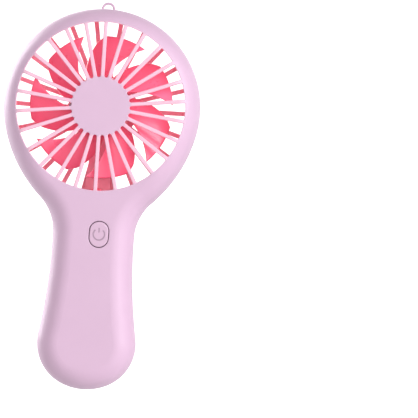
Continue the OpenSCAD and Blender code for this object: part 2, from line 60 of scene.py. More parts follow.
# Arcs of the half outline from the crown down: radius, negative where hollow, and the angle
# of the outward normal from straight up where the arc ends
ARCS = [(HEAD_R, 101.3), (70.8, 136.4), (-24.8, 90.8), (-279.0, 80.2), (23.0, 155.0)]
# The back's tongue reaches over the parting plane into the front's recess: how far, how far in
# from the silhouette and how thick, and the recess's depth and place
TONGUE, TONGUE_IN, TONGUE_T = 1.2, 1.0, 1.0
RECESS, RECESS_IN = 1.3, 0.9
# How far a shell's rim stays from the parting plane
RIM_Y = 0.03
# Rounding of the edges of a slot outside and inside, and of the label's recess
SLOT_BEVEL, SLOT_INNER_BEVEL, RECESS_BEVEL = 0.34, 0.2, 0.22
# How far the back's rim is lowered between the ribs that run over it
RIM_RELIEF = 0.55

FRONT_RIBS, FRONT_RIB_W, FRONT_DISC_R, FRONT_OPEN_R, FRONT_FILLET = 26, 1.85, 14.6, 42.4, 0.9
BACK_RIBS, BACK_RIB_W, BACK_HUB_R, BACK_OPEN_R, BACK_FILLET = 22, 2.2, 17.4, 46.5, 0.6
ARM_HALF = 11.6

button_low, button_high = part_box("power_button")
BUTTON_X = (button_low.x + button_high.x) / 2 / MM
BUTTON_Z = ((button_low.z + button_high.z) / 2 - HEAD.z) / MM
BUTTON_FRONT = button_low.y / MM
BUTTON_W, BUTTON_H, BUTTON_GAP = 10.1, 13.5, 0.3

SCREW_Z = -44.8
SCREW_RECESS_R, SCREW_SEAT_Y, SCREW_HOLE_R = 2.6, 5.5, 1.15
LABEL_R, LABEL_BACK, LABEL_FLOOR = 15.2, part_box("rear_label")[1].y / MM, 16.5
USB_Z, USB_HALF_H, USB_HALF_GAP = -64.3, 4.05, 1.6
BOARD_SCREWS = [(11.2, -60.2), (-6.2, -67.9)]
SADDLES = [-84.0, -122.0]
EYELET_R, EYELET_WIRE_R, EYELET_Y, EYELET_Z = 2.925, 0.625, 0.9, 50.05
# The ring round the motor, and a depth in the back's wall where ring and posts end
MOTOR_RING_R, MOTOR_BORE_R, MOTOR_RING_FRONT, BACK_INSIDE = 14.2, 12.35, 3.2, 15.3
RETAINER_POST_X = 15.2
# The leads' cover at its top and low ends: height, half width and depth. Then its thickness
# and the radius of the gap round the case screw's post.
COVER_TOP, COVER_LOW = (-14.2, 4.6, 10.6), (-44.5, 6.6, 8.2)
COVER_T, COVER_GAP_R = 0.8, 3.2

BLADES, TIP_R, HUB_R, BLADE_PHASE = 7, 36.2, 12.0, 15.7
ROOT_ANGLE, TIP_ANGLE, SWEEP = 44.5, 37.0, 35.0
CORNER_SHARE, CORNER_DROP = 0.07, 3.0
BLADE_BACK, BLADE_FRONT, BLADE_HALF_T = -1.2, -10.8, 1.4 * 0.55
LEAN_POWER, CAMBER = 0.92, 0.9
HUB_ROUND, HUB_WALL, HUB_TOP_T = 0.9, 1.4, 1.6
BOSS_R, BOSS_BACK, BORE_R, BORE_FLOOR = 3.2, -1.2, 1.0, 0.8
HUB_FRONT, HUB_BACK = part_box("impeller")[0].y / MM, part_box("impeller")[1].y / MM


def mix(a, b, t):
    return a * (1 - t) + b * t


def ease(t):
    t = np.clip(t, 0.0, 1.0)
    return t * t * (3.0 - 2.0 * t)


def heading(degrees):
    """Unit x, z of a direction given clockwise from straight up."""
    a = math.radians(degrees)
    return np.array([math.sin(a), math.cos(a)])


# ---------- mesh building ----------

class MeshMaker:
    """Collects vertices in millimetres and faces, and makes one object of them."""

    def __init__(self):
        self.blocks = []
        self.faces = []
        self.count = 0
        self.coats = []

    def coat(self, number):
        """Faces added from here on take this one of the piece's materials."""
        self.coats.append((len(self.faces), number))

    def add(self, points):
        points = np.asarray(points, float).reshape(-1, 3)
        self.blocks.append(points)
        self.count += len(points)
        return np.arange(self.count - len(points), self.count)

    def band(self, a, b, closed=True):
        """Quads between two rows of equal length."""
        n = len(a)
        for i in range(n if closed else n - 1):
            j = (i + 1) % n
            self.faces.append([a[i], a[j], b[j], b[i]])

    def bands(self, rows):
        """Quads between each closed row and the next."""
        for a, b in zip(rows, rows[1:]):
            self.band(a, b)

    def ring(self, loop, y):
        """A row of points over a plan loop at one depth."""
        return self.add([[p[0], y, p[1]] for p in loop])

    def fan(self, row, centre):
        """Triangles from a closed row to one point in its middle."""
        middle = self.add([centre])[0]
        for i in range(len(row)):
            self.faces.append([row[i], row[(i + 1) % len(row)], middle])

    def sheet(self, loops, rows, free, clearance, raised):
        """Triangles between loops, whose points are the rows. Raised puts free points on the
        surface."""
        points, triangles = fill(loops, free, clearance)
        known = np.concatenate(rows)
        numbers = np.concatenate([known, self.add(raised(points[len(known):]))])
        self.faces += [[numbers[i] for i in t] for t in triangles]

    def lathe(self, profile, x=0.0, z=0.0, steps=48, closed=True):
        """Turns a profile of (radius, y) about a line along Y through x, z."""
        turn = [heading(360.0 * i / steps) for i in range(steps)]
        rows = [self.add([[x + r * h[0], y, z + r * h[1]] for h in turn]) for r, y in profile]
        for i in range(len(rows) if closed else len(rows) - 1):
            self.band(rows[i], rows[(i + 1) % len(rows)])
        return rows

    def tube(self, centres, radii, side, sides=20):
        """A closed round tube swept along centres."""
        centres = np.asarray(centres, float)
        rows = []
        for i, c in enumerate(centres):
            along = centres[min(i + 1, len(centres) - 1)] - centres[max(i - 1, 0)]
            along /= np.linalg.norm(along)
            u = np.cross(along, side)
            u /= np.linalg.norm(u)
            v = np.cross(along, u)
            turn = [2 * math.pi * k / sides for k in range(sides)]
            rows.append(self.add([c + radii[i] * (math.cos(a) * u + math.sin(a) * v)
                                  for a in turn]))
        self.bands(rows)
        self.fan(rows[0], centres[0])
        self.fan(rows[-1], centres[-1])

    def prism(self, loop, y0, y1):
        """Closes a convex plan loop between two depths."""
        rows = [self.ring(loop, y) for y in (y0, y1)]
        self.bands(rows)
        middle = np.mean(loop, 0)
        for row, y in zip(rows, (y0, y1)):
            self.fan(row, [middle[0], y, middle[1]])

    def make(self, name, materials, body, slot, nodes=()):
        mesh = bpy.data.meshes.new(name)
        points = np.vstack(self.blocks) * MM + np.array(HEAD)
        mesh.from_pydata(points.tolist(), [], [[int(i) for i in face] for face in self.faces])
        numbers = np.zeros(len(self.faces), int)
        for first, number in self.coats:
            numbers[first:] = number
        mesh.polygons.foreach_set("material_index", numbers)
        work = bmesh.new()
        work.from_mesh(mesh)
        bmesh.ops.remove_doubles(work, verts=work.verts, dist=1e-7)
        bmesh.ops.recalc_face_normals(work, faces=work.faces)
        work.to_mesh(mesh)
        work.free()
        mesh.polygons.foreach_set("use_smooth", [True] * len(mesh.polygons))
        mesh.set_sharp_from_angle(angle=math.radians(40))
        for material in materials:
            mesh.materials.append(material)
        obj = bpy.data.objects.new(name, mesh)
        bpy.context.scene.collection.objects.link(obj)
        weighted = obj.modifiers.new("even_shading", "WEIGHTED_NORMAL")
        weighted.keep_sharp = True
        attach(obj, body)
        if nodes:
            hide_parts(*nodes)
        return obj


def inside(points, loops):
    """Whether each point is within an odd number of the closed loops."""
    points = np.asarray(points, float)
    odd = np.zeros(len(points), bool)
    for loop in loops:
        low, high = loop.min(0), loop.max(0)
        near = np.where(((points >= low) & (points <= high)).all(1))[0]
        if not len(near):
            continue
        a, b = loop, np.roll(loop, -1, 0)
        px, pz = points[near, 0][:, None], points[near, 1][:, None]
        spans = (a[:, 1] > pz) != (b[:, 1] > pz)
        with np.errstate(divide="ignore", invalid="ignore"):
            cross_x = a[:, 0] + (pz - a[:, 1]) * (b[:, 0] - a[:, 0]) / (b[:, 1] - a[:, 1])
        odd[near] ^= (spans & (px < cross_x)).sum(1) % 2 == 1
    return odd


def resample(loop, step):
    """Points no further than step apart round a closed loop."""
    result = []
    for a, b in zip(loop, np.roll(loop, -1, 0)):
        n = max(1, math.ceil(np.linalg.norm(b - a) / step))
        result += [mix(a, b, i / n) for i in range(n)]
    return np.array(result)


def outward(loop):
    """Unit normals at a closed plan loop's points, pointing out of it."""
    edges = np.roll(loop, -1, 0) - loop
    area = (loop[:, 0] * np.roll(loop[:, 1], -1) - np.roll(loop[:, 0], -1) * loop[:, 1]).sum()
    out = np.stack([edges[:, 1], -edges[:, 0]], 1) * (1 if area > 0 else -1)
    out /= np.linalg.norm(out, axis=1)[:, None]
    both = out + np.roll(out, 1, 0)
    both /= np.linalg.norm(both, axis=1)[:, None]
    # Keeps an offset edge parallel to its own edge where the loop turns
    return both / np.maximum((both * out).sum(1), 0.5)[:, None]


def plan_tree(points):
    tree = KDTree(len(points))
    for i, p in enumerate(points):
        tree.insert((p[0], p[1], 0), i)
    tree.balance()
    return tree


def fill(loops, free, clearance):
    """Triangles over the plan inside the first loop and outside the others. Free points
    closer to a loop than the clearance are left out. Returns the points used, with the
    loops' own points first, and triangles of their numbers."""
    border = plan_tree(np.vstack([resample(loop, 0.15) for loop in loops]))
    free = np.asarray(free, float).reshape(-1, 2)
    if len(free):
        free = free[inside(free, loops)]
        free = free[[border.find((p[0], p[1], 0))[2] > clearance for p in free]]
    points = np.vstack(list(loops) + [free])
    edges, first = [], 0
    for loop in loops:
        n = len(loop)
        edges += [(first + i, first + (i + 1) % n) for i in range(n)]
        first += n
    coords, _, faces, origin, _, _ = delaunay_2d_cdt(
        [Vector(p) for p in points], edges, [], 0, 1e-7, True)
    coords = np.array(coords)
    centres = np.array([coords[list(f)].mean(0) for f in faces])
    keep = inside(centres, loops)
    number = {i: (o[0] if o else None) for i, o in enumerate(origin)}
    triangles = []
    for f, k in zip(faces, keep):
        ids = [number[i] for i in f]
        if k and None not in ids:
            triangles.append(ids)
    return points, triangles


def hexes(low, high, step):
    """A triangular grid of points over a box."""
    rows = np.arange(low[1], high[1], step * 0.866)
    return [[x + (step / 2 if k % 2 else 0), z] for k, z in enumerate(rows)
            for x in np.arange(low[0], high[0], step)]


def circle(r, x=0.0, z=0.0, steps=64):
    return np.array([[x, z] + r * heading(360.0 * i / steps) for i in range(steps)])


def stadium(w, h, x, z, steps=18):
    half = (h - w) / 2
    top = [[x, z + half] + w / 2 * heading(mix(-90, 90, i / steps)) for i in range(steps + 1)]
    low = [[x, z - half] + w / 2 * heading(mix(90, 270, i / steps)) for i in range(steps + 1)]
    return resample(np.array(top + low), 1.3)


# ---------- outline and heights ----------

def outline(step):
    """Stations round the silhouette, clockwise from the crown: x, z and outward normal."""
    rows, start, a0 = [], np.array([0.0, HEAD_R]), 0.0
    arcs = list(ARCS)
    while True:
        if len(arcs) == 0:
            r, a1 = start[0] / math.sin(math.radians(a0)), 180.0
        else:
            r, a1 = arcs.pop(0)
        n = max(2, round(abs(r) * math.radians(abs(a1 - a0)) / step))
        for i in range(n):
            a = mix(a0, a1, i / n)
            rows.append([*(start + r * (heading(a) - heading(a0))), *heading(a)])
        start, a0 = start + r * (heading(a1) - heading(a0)), a1
        if a1 == 180.0:
            break
    rows[0][0] = 0.0
    left = [[-x, z, -nx, nz] for x, z, nx, nz in reversed(rows[1:])]
    return np.array(rows + [[0.0, start[1], 0.0, -1.0]] + left)


fine_outline = outline(0.1)
outline_tree = plan_tree(fine_outline)
right_half = fine_outline[: len(fine_outline) // 2 + 1]


def from_edge(points):
    """Distance in from the silhouette, the nearest station's height and its normal."""
    nearest = [outline_tree.find((p[0], p[1], 0))[1] for p in points]
    s = fine_outline[nearest]
    d = ((s[:, :2] - points) * s[:, 2:]).sum(1)
    return d, s[:, 1], s[:, 2:]


class Half:
    """One shell's shape: how far its outside and inside stand from the parting plane."""

    def __init__(self, side, head, fall):
        self.side, self.head, self.fall = side, head, fall

    def depth(self, z):
        share = ease((np.asarray(z) - self.fall[0]) / (self.fall[1] - self.fall[0]))
        return mix(self.head, HANDLE_HALF, share)

    def station_depth(self, points):
        d, z, normal = from_edge(points)
        inset = right_half[:, 1] - EDGE_W * right_half[:, 3]
        level = np.interp(-points[:, 1], -inset, self.depth(right_half[:, 1]))
        return d, np.where(d < EDGE_W, self.depth(z), level), normal

    def outside(self, points):
        """Points of the outer skin over plan points, and their outward normals."""
        d, depth, normal = self.station_depth(points)
        cos_t = np.clip(1 - d / EDGE_W, 0, 1)
        sin_t = np.sqrt(1 - cos_t * cos_t)
        skin = np.stack([points[:, 0], depth * sin_t, points[:, 1]], 1)
        slope = np.stack([normal[:, 0] * cos_t / EDGE_W, sin_t / depth,
                          normal[:, 1] * cos_t / EDGE_W], 1)
        slope /= np.linalg.norm(slope, axis=1)[:, None]
        return skin, slope

    def inside(self, points):
        d, depth, _ = self.station_depth(points)
        cos_t = np.clip(1 - (d - WALL) / (EDGE_W - WALL), 0, 1)
        return (depth - WALL) * np.sqrt(1 - cos_t * cos_t)


front = Half(-1, -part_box("front_shell")[0].y / MM, (-28.0, -57.0))
back = Half(1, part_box("back_shell")[1].y / MM, (-26.0, -68.0))


# ---------- grille slots ----------

def fillet(centre, f, a0, a1, steps=5):
    return [centre + f * heading(mix(a0, a1, i / steps)) for i in range(steps + 1)]


def slot_loop(r0, r1, a0, w0, a1, w1, f, g):
    """One slot, from the rib edge at angle a0 round to the one at a1."""
    def centre(a, w, r, side, outer):
        off, d = (w / 2 + g, r - g) if outer else (w / 2 + f, r + f)
        h = heading(a)
        return math.sqrt(d * d - off * off) * h + side * off * np.array([h[1], -h[0]])

    def bearing(c, about):
        b = math.degrees(math.atan2(c[0], c[1]))
        return b + 360 * round((about - b) / 360)

    i0, o0 = centre(a0, w0, r0, 1, False), centre(a0, w0, r1, 1, True)
    i1, o1 = centre(a1, w1, r0, -1, False), centre(a1, w1, r1, -1, True)
    bi0, bo0, bi1, bo1 = bearing(i0, a0), bearing(o0, a0), bearing(i1, a1), bearing(o1, a1)
    outer_arc = [r1 * heading(mix(bo0, bo1, i / 8)) for i in range(1, 8)]
    inner_arc = [r0 * heading(mix(bi1, bi0, i / 4)) for i in range(1, 4)]
    loop = (fillet(i0, f, bi0 - 180, a0 - 90) + fillet(o0, g, a0 - 90, bo0) + outer_arc
            + fillet(o1, g, bo1, a1 + 90) + fillet(i1, f, a1 + 90, bi1 + 180) + inner_arc)
    return resample(np.array(loop), 1.15)


def front_slots():
    pitch = 360.0 / FRONT_RIBS
    return [slot_loop(FRONT_DISC_R, FRONT_OPEN_R, k * pitch, FRONT_RIB_W, (k + 1) * pitch,
                      FRONT_RIB_W, FRONT_FILLET, 0.4) for k in range(FRONT_RIBS)]


def back_rib_angles():
    pitch = 360.0 / BACK_RIBS
    return [(k + 0.5) * pitch for k in range(BACK_RIBS) if abs((k + 0.5) * pitch - 180) > 12]


def back_slots():
    angles = sorted(a if a < 180 else a - 360 for a in back_rib_angles())
    spans = [(a, b, BACK_RIB_W) for a, b in zip(angles, angles[1:])]
    spans.append((angles[-1], 180 - ARM_HALF, 0.0))
    loops = [slot_loop(BACK_HUB_R, BACK_OPEN_R, a, BACK_RIB_W, b, width, BACK_FILLET,
                       BACK_FILLET) for a, b, width in spans]
    return loops + [loops[-1] * [-1, 1]]


# ---------- shells ----------

def bevel_rows(width, steps=3):
    """Offset outwards and depth of the rows that round an opening's edge."""
    turns = [math.radians(90.0 * i / steps) for i in range(steps + 1)]
    return [(width * (1 - math.sin(t)), width * (1 - math.cos(t))) for t in turns]


def rim_groove_rows():
    """The narrow groove at the parting plane: distance in and distance from the plane."""
    return [(0.16, RIM_Y), (0.05, 0.08), (0.0, 0.2)]


def ring_rows(maker, half, stations, split, inner_start, stop):
    """The outer skin from the parting groove to the split, and the inner skin from its start
    to the stop, as rows of vertex numbers round the outline. Split and stop are distances in
    from the silhouette."""
    starts = usb_starts(stations)

    def row(distance, heights):
        plan = stations[:, :2] - stations[:, 2:] * np.reshape(distance, (-1, 1))
        return maker.add(np.stack([plan[:, 0], half.side * heights, plan[:, 1]], 1))

    depth = half.depth(stations[:, 1])
    outer = [row(np.full(len(stations), d), y + starts) for d, y in rim_groove_rows()]
    t_end = math.acos(1 - split / EDGE_W)
    steps = max(4, round(math.degrees(t_end) / 5))
    t_start = np.arcsin((starts + 0.2) / depth)
    for i in range(1, steps + 1):
        t = mix(t_start, t_end, (0.6 if i == 1 else i) / steps)
        outer.append(row(EDGE_W * (1 - np.cos(t)), depth * np.sin(t)))
    inner = []
    t_end = math.acos(1 - (stop - WALL) / (EDGE_W - WALL))
    steps = max(3, round(math.degrees(t_end) / 7))
    t_start = np.arcsin(np.maximum(starts, inner_start) / (depth - WALL))
    for i in range(steps + 1):
        t = mix(t_start, t_end, i / steps)
        inner.append(row(WALL + (EDGE_W - WALL) * (1 - np.cos(t)), (depth - WALL) * np.sin(t)))
    return outer, inner, starts


def usb_starts(stations):
    """How far each station's rim is cut back for the charging socket, on the left."""
    return np.where((stations[:, 0] < 0) & (abs(stations[:, 1] - USB_Z) < USB_HALF_H),
                    USB_HALF_GAP, 0.0)


def shell_stations(step):
    """Outline stations, with pairs at the charging opening's two ends."""
    s = outline(step)
    extra = []
    left = fine_outline[len(fine_outline) // 2:]
    for end in (USB_Z - USB_HALF_H, USB_Z + USB_HALF_H):
        k = int(np.argmin(abs(left[:, 1] - end)))
        for shift in (-0.02, 0.02):
            p = left[k].copy()
            p[1] = end + shift
            extra.append(p)
    s = np.array([p for p in s
                  if p[0] > 0 or all(abs(p[1] - e[1]) > 0.3 for e in extra[::2])])
    right, left_side = s[s[:, 0] >= 0], np.vstack([s[s[:, 0] < 0], extra])
    return np.vstack([right[np.argsort(-right[:, 1])],
                      left_side[np.argsort(left_side[:, 1])]])


def plan_points(split, head_rows, fall):
    """Free points for the skins: rows that follow the silhouette and a grid where the
    depth changes."""
    free = []
    t = math.degrees(math.acos(1 - split / EDGE_W)) + head_rows * 0.8
    while t < 90:
        d = EDGE_W * (1 - math.cos(math.radians(t)))
        spacing = 0.62 if t < 50 else 0.95
        s = outline(spacing)
        free.append(s[:, :2] - d * s[:, 2:])
        t += head_rows
    s = outline(1.2)
    free.append(s[:, :2] - EDGE_W * s[:, 2:])
    grid = np.array(hexes((-40, fall[1] - 12), (40, fall[0] + 4), 1.25))
    d = from_edge(grid)[0]
    free.append(grid[d > EDGE_W + 0.5])
    coarse = np.array(hexes((-45, -140), (45, 45), 4.0))
    d = from_edge(coarse)[0]
    flat = (d > EDGE_W + 2) & ((coarse[:, 1] < fall[1] - 12) | (coarse[:, 1] > fall[0] + 4))
    free.append(coarse[flat])
    return np.vstack(free)


def back_relief(points):
    """Depth that the back's rim is lowered by between the ribs that run over it."""
    r = np.hypot(points[:, 0], points[:, 1])
    angle = np.degrees(np.arctan2(points[:, 0], points[:, 1]))
    ridge = np.zeros(len(points))
    for a in back_rib_angles():
        away = np.radians((angle - a + 180) % 360 - 180) * r
        ridge = np.maximum(ridge, 1 - ease((abs(away) - 0.85) / 0.5))
    window = ease((r - 45.2) / 1.0) * (1 - ease((r - 48.4) / 1.0))
    window *= 1 - ease((abs(angle) - 101) / 10)
    return RIM_RELIEF * window * (1 - ridge)


def ridge_points():
    """Free points along each rib where it runs over the back's rim."""
    turns = [heading(a) for a in back_rib_angles()]
    return [r * h + away * np.array([h[1], -h[0]]) for h in turns
            for away in (-1.45, -1.2, -0.85, -0.4, 0, 0.4, 0.85, 1.2, 1.45)
            for r in np.arange(44.6, 49.4, 0.45)]


def shell(half, slots, split, stop, inner_start, rim, extra_free=(), relief=None, blind=(),
          wells=(), shaded=()):
    """A shell as one closed skin. Slots go right through. Blind recesses are (loop, floor) and
    are cut from the outside. Wells are (x, z, radius, lip, rows of radius and depth down the
    well, radius of the post on the inner skin). The inner skin and the slots' walls take the
    second coat, a painted glow. The walls of the wells and of the slots numbered in shaded take
    the third coat, a painted shade."""
    maker = MeshMaker()
    stations = shell_stations(0.6)
    outer, inner, starts = ring_rows(maker, half, stations, split, inner_start, stop)
    maker.bands(outer)
    maker.coat(1)
    maker.bands(inner)
    rim_rows = [outer[0]]
    for d, y in rim:
        plan = stations[:, :2] - stations[:, 2:] * d
        height = np.where(starts > 0, np.maximum(y, starts), y)
        rim_rows.append(maker.add(np.stack([plan[:, 0], half.side * height, plan[:, 1]], 1)))
    maker.bands(rim_rows + [inner[0]])
    outside_loops = [stations[:, :2] - split * stations[:, 2:]]
    inside_loops = [stations[:, :2] - stop * stations[:, 2:]]
    outside_rows, inside_rows = [outer[-1]], [inner[-1]]

    def lift(points, depth=0.0):
        skin, normal = half.outside(points)
        low = relief(points)[:, None] if relief else 0.0
        skin = skin - normal * low
        skin[:, 1] -= depth
        return skin * [1, half.side, 1]

    def lift_inside(points, depth=0.0):
        y = half.inside(points) + depth
        return np.stack([points[:, 0], half.side * y, points[:, 1]], 1)

    def cut_outside(loop, bevel):
        """Rounds an opening's outer edge, and returns the row where its wall starts."""
        out = outward(loop)
        rows = [maker.add(lift(loop + o * out, d)) for o, d in bevel_rows(bevel)]
        outside_loops.append(loop + bevel_rows(bevel)[0][0] * out)
        outside_rows.append(rows[0])
        maker.coat(0)
        maker.bands(rows)
        return rows[-1]

    for number, loop in enumerate(slots):
        wall = cut_outside(loop, SLOT_BEVEL)
        out = outward(loop)
        inner_bevel = bevel_rows(SLOT_INNER_BEVEL)
        low = [maker.add(lift_inside(loop + o * out, d)) for o, d in reversed(inner_bevel)]
        inside_loops.append(loop + inner_bevel[0][0] * out)
        inside_rows.append(low[-1])
        # Slot walls take the inside's painted glow, and painted shade where listed in shaded
        maker.coat(2 if number in shaded else 1)
        maker.bands([wall] + low)
    for loop, floor in blind:
        rows = [cut_outside(loop, RECESS_BEVEL), maker.ring(loop, half.side * floor)]
        maker.bands(rows)
        middle = loop.mean(0)
        maker.fan(rows[-1], [middle[0], half.side * floor, middle[1]])
    for x, z, r, lip, well_rows, post_r in wells:
        rows = [cut_outside(circle(r, x, z), lip)]
        rows += [maker.ring(circle(row_r, x, z), half.side * y) for row_r, y in well_rows]
        inside_loops.append(circle(post_r, x, z))
        rows.append(maker.add(lift_inside(inside_loops[-1])))
        inside_rows.append(rows[-1])
        # The well's walls take painted shade
        maker.coat(2)
        maker.bands(rows)

    free = plan_points(split, 5.5, half.fall)
    if len(extra_free):
        free = np.vstack([free, extra_free])
    for coat, loops, rows, raise_points in ((0, outside_loops, outside_rows, lift),
                                            (1, inside_loops, inside_rows, lift_inside)):
        maker.coat(coat)
        maker.sheet(loops, rows, free, 0.3, raise_points)
    return maker


def saddle_web(maker, z, side):
    """The web across the handle that the cell lies in."""
    reach, r, half_t = HANDLE_HALF - WALL + 0.4, 9.35, 0.7
    half_angle, half_w, count = 1.12, 9.0, 25
    arc = [[r * math.sin(a), side * r * math.cos(a)]
           for a in np.linspace(-half_angle, half_angle, count)]
    outer = [[x, side * reach] for x in np.linspace(-half_w, half_w, count)]
    loops = []
    for level in (z - half_t, z + half_t):
        loops.append((maker.add([[x, y, level] for x, y in arc]),
                      maker.add([[x, y, level] for x, y in outer])))
    (a0, b0), (a1, b1) = loops
    for one, other in ((a0, b0), (a1, b1), (a0, a1), (b0, b1)):
        maker.band(one, other, closed=False)
    for e in (0, -1):
        maker.faces.append([a0[e], b0[e], b1[e], a1[e]])


def post(maker, r, hole_r, y0, y1, x, z):
    """A screw post with a blind hole from its y0 end through four fifths of it."""
    depth = (y1 - y0) * 0.8
    rows = maker.lathe([(r, y1), (r, y0), (hole_r, y0), (hole_r, y0 + depth)], x, z, 32, False)
    maker.fan(rows[-1], [x, y0 + depth, z])
    maker.fan(rows[0], [x, y1, z])


# ---------- materials ----------

class Shade:
    """A small helper that lays out one material's nodes."""

    def __init__(self, name):
        self.material = bpy.data.materials.new(name)
        self.material.use_nodes = True
        self.tree = self.material.node_tree
        self.shader = self.tree.nodes["Principled BSDF"]
        self.place = self.add("ShaderNodeTexCoord").outputs["Object"]

    def add(self, kind, **values):
        node = self.tree.nodes.new(kind)
        for name, value in values.items():
            setattr(node, name, value)
        return node

    def link(self, a, b):
        self.tree.links.new(a, b)

    def noise(self, scale, detail=3.0, rough=0.5, stretch=None):
        node = self.add("ShaderNodeTexNoise")
        node.inputs["Scale"].default_value = scale
        node.inputs["Detail"].default_value = detail
        node.inputs["Roughness"].default_value = rough
        place = self.place
        if stretch:
            mapping = self.add("ShaderNodeMapping")
            mapping.inputs["Scale"].default_value = stretch
            self.link(place, mapping.inputs["Vector"])
            place = mapping.outputs["Vector"]
        self.link(place, node.inputs["Vector"])
        return node.outputs["Fac"]

    def span(self, value, low, high, from_low=0.3, from_high=0.7):
        node = self.add("ShaderNodeMapRange")
        for name, v in (("From Min", from_low), ("From Max", from_high),
                        ("To Min", low), ("To Max", high)):
            node.inputs[name].default_value = v
        self.link(value, node.inputs["Value"])
        return node.outputs["Result"]

    def math(self, operation, *values):
        node = self.add("ShaderNodeMath", operation=operation)
        for value, place in zip(values, node.inputs):
            self.link(value, place)
        return node.outputs["Value"]

    def ramp(self, value, stops):
        node = self.add("ShaderNodeValToRGB")
        elements = node.color_ramp.elements
        while len(elements) < len(stops):
            elements.new(0.5)
        for e, (at, colour) in zip(elements, stops):
            e.position = at
            e.color = (*colour, 1.0)
        self.link(value, node.inputs["Fac"])
        return node.outputs["Color"]

    def colour(self, output):
        self.link(output, self.shader.inputs["Base Color"])

    def roughness(self, output):
        self.link(output, self.shader.inputs["Roughness"])

    def bump(self, heights, distance):
        normal = None
        for height, strength in heights:
            node = self.add("ShaderNodeBump")
            node.inputs["Strength"].default_value = strength
            node.inputs["Distance"].default_value = distance
            self.link(height, node.inputs["Height"])
            if normal:
                self.link(normal, node.inputs["Normal"])
            normal = node.outputs["Normal"]
        self.link(normal, self.shader.inputs["Normal"])

    def set(self, **values):
        for name, value in values.items():
            self.shader.inputs[name.replace("_", " ")].default_value = value


def linear(r, g, b):
    """Scene-linear colour from display values of 0 to 255."""
    def one(c):
        c /= 255.0
        return c / 12.92 if c <= 0.04045 else ((c + 0.055) / 1.055) ** 2.4
    return one(r), one(g), one(b)


def shift(colour, by):
    return tuple(min(c * (1 + by), 1.0) for c in colour)


def moulded(s, rough, grain, **values):
    """A moulded surface: a fine grain and slow waves of gloss."""
    s.roughness(s.span(s.noise(140.0, 3.0), *rough))
    s.bump([(s.noise(2600.0, 2.0), grain), (s.noise(90.0, 2.0), grain * 0.6)], 0.0002)
    s.set(**values)
    return s.material


def clouded(s, cloud, colour, by):
    return s.ramp(cloud, [(0.3, shift(colour, -by)), (0.7, shift(colour, by))])


def plastic(name, colour, rough, grain, mottle, coat=0.0):
    """Moulded plastic with faint clouding in its colour."""
    s = Shade(name)
    s.colour(clouded(s, s.noise(60.0, 4.0, 0.55), colour, mottle))
    return moulded(s, rough, grain, IOR=1.49, Coat_Weight=coat, Coat_Roughness=0.12)


def metal(name, colour, rough, stretch, mottle=0.08, grain=0.1):
    """Plated or machined metal with fine drawn lines and slight staining."""
    s = Shade(name)
    s.colour(clouded(s, s.noise(220.0, 5.0, 0.6), colour, mottle))
    lines = s.noise(1800.0, 3.0, 0.6, stretch)
    s.roughness(s.span(lines, *rough))
    s.bump([(lines, grain)], 0.0001)
    s.set(Metallic=1.0)
    return s.material


SHELL_PINK = (0.44, 0.30, 0.395)
# The ribs' lighter, pinker colours are a painted glow, standing for light that passes through the
# ribs and bounces round inside the head
RIB_PAINTED_GLOW, BACK_RIB_PAINTED_GLOW = (0.58, 0.34, 0.42), (0.54, 0.34, 0.42)
BLADE_PINK = (0.82, 0.115, 0.205)


def shell_plastic(name, r_low, r_high, fade, rib_glow):
    """The shells' plastic, with a second colour between two radii round the head's centre, where
    the ribs are. That lighter, pinker colour is a painted glow, for light that passes through the
    ribs and bounces round inside the head. The painted colour passes into the body's colour over
    the length called fade."""
    s = Shade(name)
    cloud = s.noise(60.0, 4.0, 0.55)
    body, ribs = (clouded(s, cloud, colour, 0.012) for colour in (SHELL_PINK, rib_glow))
    place = s.place
    for operation, by in (("SUBTRACT", tuple(HEAD)), ("MULTIPLY", (1.0, 0.0, 1.0))):
        node = s.add("ShaderNodeVectorMath", operation=operation)
        s.link(place, node.inputs[0])
        node.inputs[1].default_value = by
        place = node.outputs["Vector"]
    length = s.add("ShaderNodeVectorMath", operation="LENGTH")
    s.link(place, length.inputs[0])
    radius = length.outputs["Value"]
    rise = s.span(radius, 0.0, 1.0, r_low * MM, (r_low + 1.6) * MM)
    fall = s.span(radius, 1.0, 0.0, (r_high - 0.8) * MM, (r_high + fade) * MM)
    blend = s.add("ShaderNodeMix", data_type="RGBA")
    s.link(s.math("MULTIPLY", rise, fall), blend.inputs["Factor"])
    s.link(body, blend.inputs["A"])
    s.link(ribs, blend.inputs["B"])
    s.colour(blend.outputs["Result"])
    return moulded(s, (0.4, 0.48), 0.05, IOR=1.42)


# Each shell's ribs take their painted glow here
front_pink = shell_plastic("front_shell_pink", FRONT_DISC_R, FRONT_OPEN_R, 0.6, RIB_PAINTED_GLOW)
back_pink = shell_plastic("back_shell_pink", LABEL_R - 1.0, BACK_OPEN_R, 7.0, BACK_RIB_PAINTED_GLOW)
